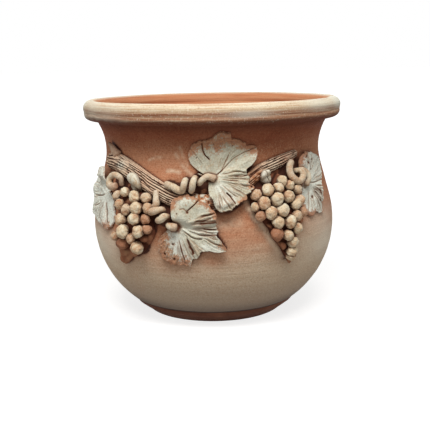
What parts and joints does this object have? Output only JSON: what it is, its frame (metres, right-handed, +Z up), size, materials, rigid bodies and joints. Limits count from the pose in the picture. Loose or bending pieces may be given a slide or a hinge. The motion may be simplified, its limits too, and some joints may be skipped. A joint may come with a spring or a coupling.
{
  "type": "planter",
  "caption": "Round-bellied open terracotta planter with a rolled rim, a drain hole and a laid-on grape garland of vine, leaves and bunches round its neck.",
  "frame": {"origin": "middle of the foot's underside, on the ground", "axes": "+Z up through the mouth and along the pot's axis; the garland's front faces -Y and +X is to the right of it"},
  "size_m": [0.4, 0.4064, 0.332],
  "materials": {
    "pot_clay": "matt fired terracotta with a pale wash on the lower belly and the rim",
    "vine_bark": "matt, scored along its length, slip on the ridges",
    "leaf_slip": "matt pale green-white patina, brown at the edges",
    "rolled_clay": "matt cream slip, brown in the folds",
    "pad_clay": "matt brown clay",
    "berry_clay": "matt cream slip, brown between the balls"
  },
  "bodies": {
    "root": {"pot": "pot_clay", "front_vine": "vine_bark", "front_upper_leaf": "leaf_slip", "front_lower_leaf": "leaf_slip", "front_left_leaf": "leaf_slip", "front_right_leaf": "leaf_slip", "front_upper_petiole": "rolled_clay", "front_lower_petiole": "rolled_clay", "front_left_tendril": "rolled_clay", "front_right_tendril": "rolled_clay", "front_left_stalk": "rolled_clay", "front_right_stalk": "rolled_clay", "front_left_pad": "pad_clay", "front_right_pad": "pad_clay", "front_left_berries": "berry_clay", "front_right_berries": "berry_clay", "back_vine": "vine_bark", "back_upper_leaf": "leaf_slip", "back_lower_leaf": "leaf_slip", "back_left_leaf": "leaf_slip", "back_right_leaf": "leaf_slip", "back_upper_petiole": "rolled_clay", "back_lower_petiole": "rolled_clay", "back_left_tendril": "rolled_clay", "back_right_tendril": "rolled_clay", "back_left_stalk": "rolled_clay", "back_right_stalk": "rolled_clay", "back_left_pad": "pad_clay", "back_right_pad": "pad_clay", "back_left_berries": "berry_clay", "back_right_berries": "berry_clay"}
  },
  "joints": []
}
